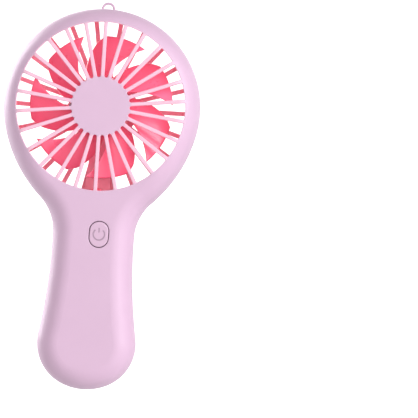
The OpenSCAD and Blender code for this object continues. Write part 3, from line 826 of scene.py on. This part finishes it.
# Plastics: colour, range of roughness, grain, clouding and, for a few, a clear coat
PLASTICS = {
    # Painted glow: the housing's inside is a deep, bright pink for light that passes through its
    # pink walls and bounces round inside. The front's inside, seen from behind, is paler
    "inside_painted_glow": ((0.86, 0.31, 0.40), (0.4, 0.5), 0.05, 0.03),
    "pale_inside_painted_glow": ((0.88, 0.42, 0.51), (0.4, 0.5), 0.05, 0.03),
    # Painted shade: deep red down the case screw's recess
    "well_painted_shade_red": ((0.82, 0.08, 0.15), (0.4, 0.5), 0.05, 0.05),
    "button_pink": ((0.43, 0.29, 0.38), (0.3, 0.4), 0.04, 0.012),
    # Painted shade in the sunk power symbol
    "button_mark_painted_shade": ((0.28, 0.19, 0.25), (0.4, 0.5), 0.04, 0.012),
    # Painted shade: a near black plum in the gap round the button and on what is seen down it
    "gap_painted_shade": ((0.09, 0.045, 0.07), (0.5, 0.6), 0.04, 0.05),
    "impeller_pink": (BLADE_PINK, (0.26, 0.36), 0.04, 0.03),
    # Painted light: a lighter copy of the blades' pink for their back faces
    "impeller_back_painted_light": ((0.9, 0.33, 0.47), (0.26, 0.36), 0.04, 0.03),
    "label_silver_white": ((0.35, 0.345, 0.40), (0.34, 0.44), 0.03, 0.015),
    "label_ink": ((0.035, 0.034, 0.045), (0.5, 0.6), 0.03, 0.08),
    "black_plastic": (linear(38, 38, 42), (0.4, 0.55), 0.08, 0.1),
    "white_plastic": (linear(232, 230, 224), (0.35, 0.5), 0.08, 0.03),
    "ferrite": (linear(62, 62, 66), (0.55, 0.75), 0.3, 0.12),
    "board_green": (linear(26, 96, 56), (0.22, 0.36), 0.05, 0.12, 0.3),
    "passives": (linear(160, 140, 112), (0.35, 0.5), 0.08, 0.15),
    "led_lens": (linear(240, 150, 140), (0.12, 0.22), 0.02, 0.05, 0.2),
    "cell_wrap": (linear(56, 112, 178), (0.18, 0.3), 0.05, 0.05, 0.2),
    "foam": (linear(52, 52, 54), (0.85, 0.95), 0.5, 0.25),
    "wire_red": (linear(196, 36, 34), (0.3, 0.45), 0.06, 0.05),
    "wire_black": (linear(34, 34, 36), (0.3, 0.45), 0.06, 0.08),
}
# Metals: colour, range of roughness, stretch of the drawn lines, staining, grain
METALS = {
    "screw_steel": (linear(150, 146, 150), (0.25, 0.42), (1, 12, 1)),
    # Painted shade: the case screw's steel is tinted red-pink like the shaded recess round it
    "case_screw_painted_shade_steel": (linear(178, 64, 80), (0.3, 0.5), (1, 12, 1)),
    "plated_steel": (linear(196, 196, 200), (0.2, 0.36), (1, 8, 1)),
    "core_steel": (linear(110, 110, 116), (0.35, 0.55), (1, 40, 1)),
    "copper": (linear(205, 120, 70), (0.25, 0.4), (1, 30, 1), 0.12),
    "sintered_bronze": (linear(160, 128, 84), (0.45, 0.65), (1, 1, 1), 0.15, 0.3),
}
paint = {name: plastic(name, *values) for name, values in PLASTICS.items()}
paint.update({name: metal(name, *values) for name, values in METALS.items()})

# The CAD nodes that are kept as they are, by the paint they take
KEPT = {
    "case_screw_painted_shade_steel": "case_screw",
    "screw_steel": "board_screws retainer_screws",
    "black_plastic": "switch_plunger switch_body usb_contacts charge_chip driver_chip",
    "board_green": "circuit_board",
    "plated_steel": "usb_socket battery_positive_cap battery_tabs motor_shaft motor_can "
                    "motor_terminals",
    "led_lens": "status_led",
    "passives": "board_passives",
    "cell_wrap": "battery_cell",
    "foam": "battery_foam_pads",
    "wire_red": "battery_wire_red motor_wire_red",
    "wire_black": "battery_wire_black motor_wire_black",
    "core_steel": "armature_core",
    "copper": "armature_windings commutator motor_brushes",
    "ferrite": "motor_magnets",
    "sintered_bronze": "motor_front_bush motor_rear_bush",
    "white_plastic": "motor_end_cap",
    # The motor's retainer takes the housing inside's painted glow
    "inside_painted_glow": "motor_retainer",
}
for paint_name, node_names in KEPT.items():
    for node_name in node_names.split():
        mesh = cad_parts[node_name].data
        mesh.materials.clear()
        mesh.materials.append(paint[paint_name])
        mesh.polygons.foreach_set("use_smooth", [True] * len(mesh.polygons))
        mesh.set_sharp_from_angle(angle=math.radians(35))

# ---------- the two shells ----------

button_loop = stadium(BUTTON_W, BUTTON_H, BUTTON_X, BUTTON_Z)
front_slot_loops = front_slots()
front_maker = shell(front, front_slot_loops + [button_loop], split=6.9, stop=6.9,
                    inner_start=RECESS, rim=[(RECESS_IN, RIM_Y), (RECESS_IN, RECESS)],
                    shaded={len(front_slot_loops)})
post(front_maker, 2.2, 0.8, 0.0, WALL - HANDLE_HALF - 1.4, 0, SCREW_Z)
for x, z in BOARD_SCREWS:
    post(front_maker, 2.0, 0.7, -2.5, WALL - HANDLE_HALF - 0.4, x, z)
for z in SADDLES:
    saddle_web(front_maker, z, -1)
front_maker.make("front_shell_skin", [front_pink, paint["pale_inside_painted_glow"], paint["gap_painted_shade"]],
                 "housing", "shell_pink", ["front_shell"])

well_post_r = 3.8
well = (0.0, SCREW_Z, SCREW_RECESS_R, 0.3,
        [(SCREW_RECESS_R, 10.0), (SCREW_RECESS_R, SCREW_SEAT_Y), (SCREW_HOLE_R, SCREW_SEAT_Y),
         (SCREW_HOLE_R, 0.2), (well_post_r, 0.2), (well_post_r, 7.0)], well_post_r)
back_maker = shell(back, back_slots(), split=0.7, stop=2.6, inner_start=0.4,
                   rim=[(TONGUE_IN, RIM_Y), (TONGUE_IN, -TONGUE),
                        (TONGUE_IN + TONGUE_T, -TONGUE)],
                   extra_free=ridge_points(), relief=back_relief,
                   blind=[(circle(LABEL_R + 0.1, steps=120), LABEL_FLOOR)], wells=[well])
# The eyelet's legs, from inside the rim, where they are thicker, up to its arch
legs = [[EYELET_R, EYELET_Y, z] for z in (48.4, 49.2, 49.6, EYELET_Z)]
leg_radii = [EYELET_WIRE_R + more for more in (0.35, 0.35, 0.12, 0.0)]
arch = [[EYELET_R * math.cos(a), EYELET_Y, EYELET_Z + EYELET_R * math.sin(a)]
        for a in np.linspace(0, math.pi, 25)[1:-1]]
path = legs + arch + [[-x, y, z] for x, y, z in reversed(legs)]
radii = leg_radii + [EYELET_WIRE_R] * len(arch) + leg_radii[::-1]
back_maker.coat(0)
back_maker.tube(path, radii, np.array([0.0, 1.0, 0.0]))
back_maker.coat(1)
for z in SADDLES:
    saddle_web(back_maker, z, 1)
back_maker.lathe([(MOTOR_RING_R, BACK_INSIDE), (MOTOR_RING_R, MOTOR_RING_FRONT),
                  (MOTOR_BORE_R, MOTOR_RING_FRONT), (MOTOR_BORE_R, BACK_INSIDE)], steps=96)
for x in (-RETAINER_POST_X, RETAINER_POST_X):
    post(back_maker, 2.1, 0.75, 2.4, BACK_INSIDE, x, 0.0)


def leads_cover(maker):
    """The cover that the motor's leads run behind, cut away round the case screw's post."""
    (top_z, top_w, top_y), (low_z, low_w, low_y) = COVER_TOP, COVER_LOW
    columns = []
    for t in np.linspace(-1.0, 1.0, 41):
        # The share of its height that a column keeps. Its x follows from it, so it's found
        # in a few rounds
        share = 1.0
        for _ in range(6):
            x = mix(top_w, low_w, share) * t
            stop_z = SCREW_Z + math.sqrt(max(COVER_GAP_R ** 2 - x * x, 0.3 ** 2))
            share = (top_z - stop_z) / (top_z - low_z)
        columns.append([maker.add([[mix(top_w, low_w, g) * t, mix(top_y, low_y, g) + layer,
                                    mix(top_z, low_z, g)] for g in np.linspace(0.0, share, 9)])
                        for layer in (0, COVER_T)])
    for (low_a, high_a), (low_b, high_b) in zip(columns, columns[1:]):
        maker.band(low_a, low_b, closed=False)
        maker.band(high_a, high_b, closed=False)
        for end in (0, -1):
            maker.faces.append([low_a[end], low_b[end], high_b[end], high_a[end]])
    for low, high in (columns[0], columns[-1]):
        maker.band(low, high, closed=False)


leads_cover(back_maker)
back_maker.make("back_shell_skin", [back_pink, paint["inside_painted_glow"], paint["well_painted_shade_red"]],
                "housing", "shell_pink", ["back_shell"])

# ---------- rear label ----------

label = MeshMaker()
label_edge = 0.1
rows = label.lathe([(LABEL_R, LABEL_FLOOR), (LABEL_R, LABEL_BACK - label_edge),
                    (LABEL_R - 0.04, LABEL_BACK - 0.04), (LABEL_R - label_edge, LABEL_BACK),
                    (LABEL_R - 3.0, LABEL_BACK)], steps=120, closed=False)
label.fan(rows[-1], [0, LABEL_BACK, 0])
label.fan(rows[0], [0, LABEL_FLOOR, 0])
label.make("rear_label_disc", [paint["label_silver_white"]], "housing", "label", ["rear_label"])

# Plain printed bars stand for the lines of print: height, left and right end as seen from
# behind, thickness and the lengths of the dashes that a line is broken into
PRINT = [(10.9, -2.9, 3.4, 0.85, [1.1, 0.7, 0.9, 1.3]), (9.7, -9.1, 9.2, 0.42, []),
         (7.4, -4.9, 5.2, 1.15, [2.6, 1.9, 1.4]), (5.0, -4.8, 4.1, 1.15, [1.6, 2.7, 1.0]),
         (2.6, -4.8, 5.3, 1.15, [2.9, 1.2, 1.7]), (0.1, -10.3, 11.9, 0.75, [2.6, 1.7, 1.2, 3.0]),
         (-1.4, -11.3, 10.6, 0.75, [1.4, 3.2, 2.2]), (-2.8, -11.3, 9.2, 0.75, [2.0, 1.1, 2.7]),
         (-4.3, -11.3, 11.1, 0.75, [3.1, 1.3, 2.2]), (-7.7, -8.7, 9.6, 1.1, [3.3, 2.2, 4.0]),
         (-9.2, -8.7, 9.6, 0.42, [])]
DASH_GAP, INK_FLOOR, INK_FACE = 0.3, LABEL_BACK - 0.03, LABEL_BACK + 0.02
ink = MeshMaker()
for height, left, right, thick, dashes in PRINT:
    x, k = left, 0
    while x < right - DASH_GAP:
        end = min(x + dashes[k % len(dashes)], right) if dashes else right
        ink.prism(np.array([[-end, height - thick / 2], [-x, height - thick / 2],
                            [-x, height + thick / 2], [-end, height + thick / 2]]),
                  INK_FLOOR, INK_FACE)
        x, k = end + DASH_GAP, k + 1
ink.make("rear_label_print", [paint["label_ink"]], "housing", "label")

# ---------- power button ----------

def arc_band(radius, width, gap, x, z, steps=40):
    """A ring's outline with a gap of so many degrees either side of the top, round ended."""
    r0, r1 = radius - width / 2, radius + width / 2
    outer = [r1 * heading(mix(gap, 360 - gap, i / steps)) for i in range(steps + 1)]
    inner = [r0 * heading(mix(360 - gap, gap, i / steps)) for i in range(steps + 1)]
    loop = np.array(outer + inner) + [x, z]
    return resample(loop, 0.5)


def on_face(points):
    return [[p[0], BUTTON_FRONT, p[1]] for p in points]


cap_w, cap_h = BUTTON_W - 2 * BUTTON_GAP, BUTTON_H - 2 * BUTTON_GAP
mark_depth, mark_slope, cap_edge = 0.1, 0.07, 0.55
flange_w, flange_t, stem_r, stem_end = 0.75, 0.9, 1.8, -7.5
flange_y = WALL - HANDLE_HALF + 0.15
button = MeshMaker()
cap_loop = stadium(cap_w, cap_h, BUTTON_X, BUTTON_Z)
cap_out = outward(cap_loop)
rows = [button.ring(cap_loop - o * cap_out, BUTTON_FRONT + d)
        for o, d in bevel_rows(cap_edge, 6)]
bevel_count = len(rows) - 1
wide = cap_loop + (BUTTON_GAP + flange_w) * cap_out
# A circle with a point for each of the cap's
stem = cap_loop - [BUTTON_X, BUTTON_Z]
stem[:, 1] = stem[:, 1] * cap_w / cap_h
stem = stem_r * (stem / np.hypot(*stem.T)[:, None]) + [BUTTON_X, BUTTON_Z]
rows += [button.ring(loop, y) for loop, y in
         ((cap_loop, flange_y), (wide, flange_y), (wide, flange_y + flange_t),
          (stem, flange_y + flange_t), (stem, stem_end))]
# The cap's sides, flange and stem, seen down the gap, take painted shade
for number, (row, below) in enumerate(zip(rows, rows[1:])):
    button.coat(2 if number >= bevel_count else 0)
    button.band(row, below)
button.fan(rows[-1], [BUTTON_X, stem_end, BUTTON_Z])
# The power symbol, sunk into the face: a broken ring and a bar, darkened with painted shade
face_loops, face_rows = [cap_loop - cap_edge * cap_out], [rows[0]]
for mark in (arc_band(2.85, 0.6, 42, BUTTON_X, BUTTON_Z),
             stadium(0.6, 2.4, BUTTON_X, BUTTON_Z + 2.1, 6)):
    button.coat(1)
    face_loops.append(mark + mark_slope * outward(mark))
    face_rows.append(button.ring(face_loops[-1], BUTTON_FRONT))
    floor = button.ring(mark, BUTTON_FRONT + mark_depth)
    button.band(face_rows[-1], floor)
    button.sheet([mark], [floor], [], 0.1, on_face)
button.coat(0)
button.sheet(face_loops, face_rows, hexes((-3, -72), (10, -56), 0.9), 0.25, on_face)
button.make("power_button_cap",
            [paint["button_pink"], paint["button_mark_painted_shade"], paint["gap_painted_shade"]],
            "button", "button_pink", ["power_button"])

# ---------- impeller ----------

def blade_end(s):
    return TIP_R - CORNER_DROP * max(CORNER_SHARE - s, 0) / CORNER_SHARE


def blade_point(s, r, face):
    """A point of a blade at share s of its width and radius r."""
    f = (r - HUB_R) / (TIP_R - HUB_R)
    lean = -SWEEP * (1 - (f ** LEAN_POWER if f > 0 else 0))
    width = mix(ROOT_ANGLE, TIP_ANGLE, f)
    a = lean + width * (s - 0.5)
    half_t = BLADE_HALF_T
    # The edges are rounded: the thickness falls to nothing round a half circle
    edge_gap = min(math.radians(width) * r * min(s, 1 - s), blade_end(s) - r)
    q = min(max(edge_gap / half_t, 0), 1)
    thick = half_t * math.sqrt(1 - (1 - q) ** 2)
    y = mix(BLADE_BACK, BLADE_FRONT, s) - CAMBER * math.sin(math.pi * s) + face * thick
    h = heading(a)
    return [r * h[0], y, r * h[1]]


def blade_shares():
    """Shares from 0 to 1 with close steps at both edges and one at the cut corner's end."""
    low = [0.0, 0.006, 0.016, 0.03, 0.046, CORNER_SHARE]
    high = [0.0, 0.006, 0.016, 0.03, 0.05]
    return low + list(np.linspace(CORNER_SHARE, 0.95, 30))[1:-1] + [1 - e for e in reversed(high)]


impeller = MeshMaker()
shares = blade_shares()
tip_steps = [0.0, 0.12, 0.3, 0.55, 0.85]
for k in range(BLADES):
    turn = math.radians(BLADE_PHASE + k * 360.0 / BLADES)
    sides = []
    for face in (-1, 1):
        grid = []
        for s in shares:
            end = blade_end(s)
            radii = list(np.linspace(HUB_R - 0.7, end - 0.9, 26))
            radii += [end - t for t in reversed(tip_steps)]
            grid.append([blade_point(s, r, face) for r in radii])
        sides.append(np.array(grid))
    for g in sides:
        x = g[..., 0] * math.cos(turn) + g[..., 2] * math.sin(turn)
        z = -g[..., 0] * math.sin(turn) + g[..., 2] * math.cos(turn)
        g[..., 0], g[..., 2] = x, z
    n, m = sides[0].shape[:2]
    near = impeller.add(sides[0]).reshape(n, m)
    far = near.copy()
    inner_part = impeller.add(sides[1][1:-1, :-1]).reshape(n - 2, m - 1)
    far[1:-1, :-1] = inner_part
    # The blades' back faces take the lighter pink: painted light
    for number, grid in enumerate((near, far)):
        impeller.coat(number)
        for i in range(n - 1):
            reach = m - 1 if i in (0, n - 2) else m
            impeller.band(grid[i][:reach], grid[i + 1][:reach], closed=False)
        # Both faces meet at the tip's corners, so those quads are split through the corner
        for edge, beside in ((0, 1), (-1, -2)):
            for other in (grid[edge][-2], grid[beside][-1]):
                impeller.faces.append([grid[beside][-2], grid[edge][-1], other])
    impeller.coat(0)
    for i in range(n - 1):
        quad = (near[i, 0], near[i + 1, 0], far[i + 1, 0], far[i, 0])
        impeller.faces.append(list(dict.fromkeys(quad)))
corner = [(HUB_R - HUB_ROUND + HUB_ROUND * math.sin(t),
           HUB_FRONT + HUB_ROUND - HUB_ROUND * math.cos(t))
          for t in np.linspace(0, math.pi / 2, 7)]
profile = ([(3.0, HUB_FRONT)] + corner
           + [(HUB_R, HUB_BACK), (HUB_R - HUB_WALL, HUB_BACK),
              (HUB_R - HUB_WALL, HUB_FRONT + HUB_TOP_T), (BOSS_R, HUB_FRONT + HUB_TOP_T),
              (BOSS_R, BOSS_BACK), (BORE_R, BOSS_BACK), (BORE_R, HUB_FRONT + BORE_FLOOR)])
rows = impeller.lathe(profile, steps=72, closed=False)
impeller.fan(rows[0], [0, HUB_FRONT, 0])
impeller.fan(rows[-1], [0, HUB_FRONT + BORE_FLOOR, 0])
impeller.make("impeller_moulding", [paint["impeller_pink"], paint["impeller_back_painted_light"]],
              "rotor", "impeller_pink", ["impeller"])

# ---------- stage, light and camera ----------

scene = bpy.context.scene
scene.view_settings.view_transform = "Standard"
scene.view_settings.look = "None"


def cove():
    """A pale round floor that curves up into a low wall all round, with its own even glow,
    which is stronger before and behind the object than at its sides."""
    floor_z, wall_r, bend, top = -0.36, 2.3, 0.8, 1.6
    curve = [(0.02, floor_z), (0.5, floor_z), (1.0, floor_z)]
    for a in np.linspace(0, math.pi / 2, 17):
        curve.append((wall_r - bend + bend * math.sin(a), floor_z + bend - bend * math.cos(a)))
    curve.append((wall_r, top))
    steps = 96
    points = [(r * math.sin(2 * math.pi * i / steps), r * math.cos(2 * math.pi * i / steps), z)
              for r, z in curve for i in range(steps)]
    faces = [[k * steps + i, k * steps + (i + 1) % steps, (k + 1) * steps + (i + 1) % steps,
              (k + 1) * steps + i] for k in range(len(curve) - 1) for i in range(steps)]
    faces.append(list(reversed(range(steps))))
    mesh = bpy.data.meshes.new("cove")
    mesh.from_pydata(points, [], faces)
    mesh.polygons.foreach_set("use_smooth", [True] * len(mesh.polygons))
    s = Shade("pale_paper")
    s.colour(s.ramp(s.noise(3.0, 2.0), [(0.3, (0.49, 0.49, 0.49)), (0.7, (0.51, 0.51, 0.51))]))
    s.roughness(s.span(s.noise(8.0), 0.85, 0.95))
    s.bump([(s.noise(400.0), 0.02)], 0.0002)
    axes = s.add("ShaderNodeSeparateXYZ")
    s.link(s.place, axes.inputs["Vector"])
    along = s.math("ABSOLUTE", axes.outputs["Y"])
    level = s.span(along, 0.2, 0.78, 0.9, 2.0)
    # Stronger on the right-hand side of whoever looks at the front or at the back
    cross = s.math("MULTIPLY", axes.outputs["X"], axes.outputs["Y"])
    tilt = s.span(cross, 0.18, -0.18, -1.5, 1.5)
    s.link(s.math("ADD", level, tilt), s.shader.inputs["Emission Strength"])
    s.set(Specular_IOR_Level=0.2, Emission_Color=(1.0, 1.0, 1.0, 1.0))
    mesh.materials.append(s.material)
    obj = bpy.data.objects.new("cove", mesh)
    scene.collection.objects.link(obj)


cove()


def softbox(name, place, size, power, colour):
    aim = Vector((0.0, 0.0, 0.06))
    light = bpy.data.lights.new(name, "AREA")
    light.shape = "RECTANGLE"
    light.size, light.size_y = size
    light.energy = power
    light.color = colour
    obj = bpy.data.objects.new(name, light)
    obj.location = place
    obj.rotation_euler = (aim - Vector(place)).to_track_quat("-Z", "Y").to_euler()
    scene.collection.objects.link(obj)


world = bpy.data.worlds.new("studio")
world.use_nodes = True
sky = world.node_tree.nodes["Background"].inputs
sky["Color"].default_value = (1.0, 1.0, 1.0, 1.0)
sky["Strength"].default_value = 0.6
scene.world = world
softbox("key_right", (1.5, -1.0, 0.7), (0.8, 1.4), 34.0, (0.97, 0.96, 1.0))
softbox("front_fill", (0.8, -1.8, 0.6), (1.2, 1.2), 10.0, (0.96, 0.95, 1.0))
softbox("key_back", (-1.5, 1.0, 0.7), (0.8, 1.4), 34.0, (0.97, 0.96, 1.0))
softbox("back_fill", (-0.8, 1.8, 0.6), (1.2, 1.2), 10.0, (0.96, 0.95, 1.0))

camera_data = bpy.data.cameras.new("camera")
camera_data.lens = 183.0
camera_data.sensor_width = 36.0
camera_data.clip_start = 0.05
camera = bpy.data.objects.new("camera", camera_data)
camera.location = (0.0577, -1.080, 0.0521)
roll = math.radians(3.8)
ahead, up = Vector((0, 1, 0)), Vector((-math.sin(roll), 0, math.cos(roll)))
right = ahead.cross(up)
camera.rotation_euler = Matrix((right, up, -ahead)).transposed().to_euler()
scene.collection.objects.link(camera)
scene.camera = camera
